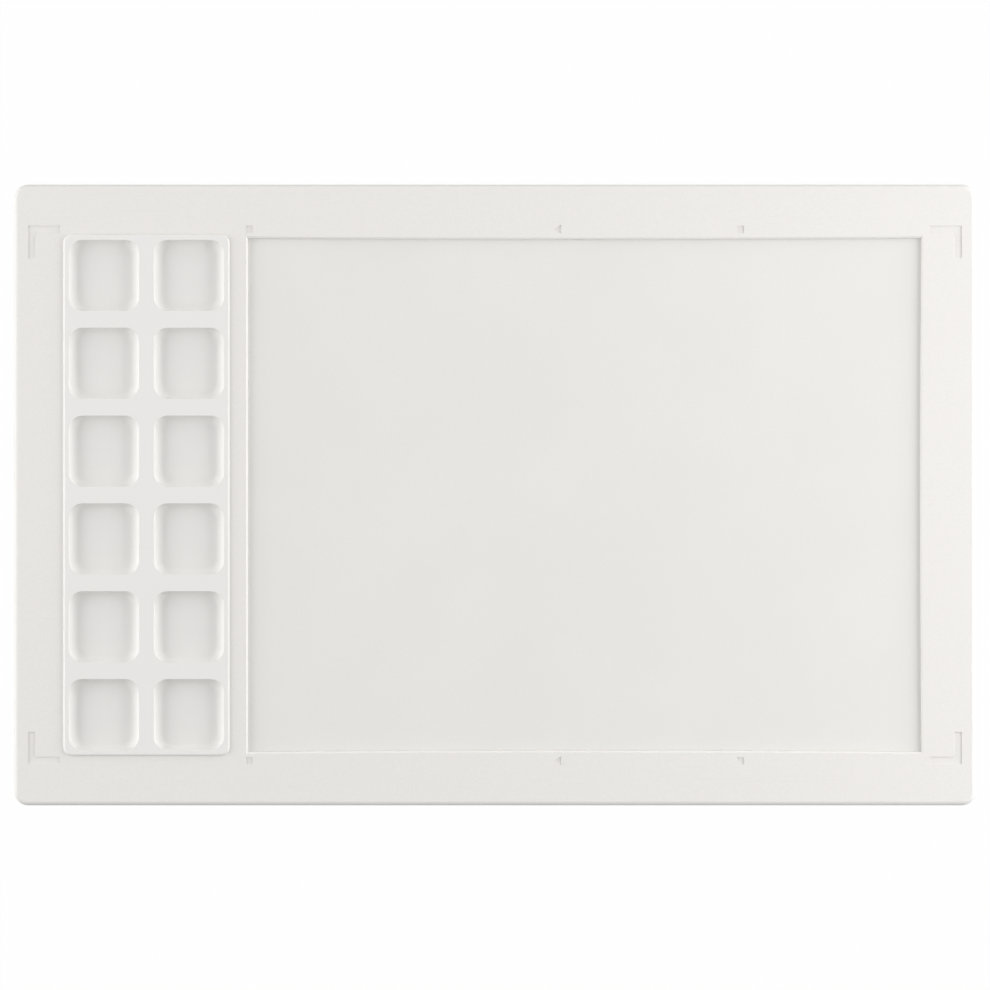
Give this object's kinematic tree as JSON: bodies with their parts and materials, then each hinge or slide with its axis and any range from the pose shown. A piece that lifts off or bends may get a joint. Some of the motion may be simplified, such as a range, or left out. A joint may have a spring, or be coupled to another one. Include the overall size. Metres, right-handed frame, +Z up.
{
  "type": "wet palette",
  "caption": "Shallow wet palette: a tray with a soaked sponge and a palette sheet under a windowed deck, beside a lift-out strip of square paint wells.",
  "frame": {"origin": "centre of the footprint, on the ground under the feet", "axes": "+X along the deck from the wells to the window, +Y towards the far long side, +Z up"},
  "size_m": [0.385, 0.2486, 0.016],
  "materials": {
    "base_plastic": "matte off-white moulded plastic with a fine even texture",
    "deck_plastic": "matte off-white moulded plastic with a fine even texture",
    "well_plastic": "satin off-white moulded plastic, smooth in the wells",
    "wet_sheet": "damp pale palette paper",
    "wet_sponge": "pale yellow open-cell foam, soaked",
    "foot_rubber": "grey soft rubber"
  },
  "bodies": {
    "base": {"base_tray": "base_plastic", "foot_front_left": "foot_rubber", "foot_front_right": "foot_rubber", "foot_rear_left": "foot_rubber", "foot_rear_right": "foot_rubber"},
    "sponge_pad": {"sponge": "wet_sponge"},
    "sheet": {"palette_sheet": "wet_sheet"},
    "deck": {"deck_frame": "deck_plastic"},
    "wells": {"well_tray": "well_plastic"}
  },
  "joints": [
    {"name": "sponge_lift", "type": "slide", "parent": "base", "child": "sponge_pad", "axis": [0, 0, 1], "range_m": [0, 0.04]},
    {"name": "sheet_lift", "type": "slide", "parent": "sponge_pad", "child": "sheet", "axis": [0, 0, 1], "range_m": [0, 0.03]},
    {"name": "deck_lift", "type": "slide", "parent": "sheet", "child": "deck", "axis": [0, 0, 1], "range_m": [0, 0.04]},
    {"name": "well_tray_lift", "type": "slide", "parent": "deck", "child": "wells", "axis": [0, 0, 1], "range_m": [0, 0.03]}
  ]
}
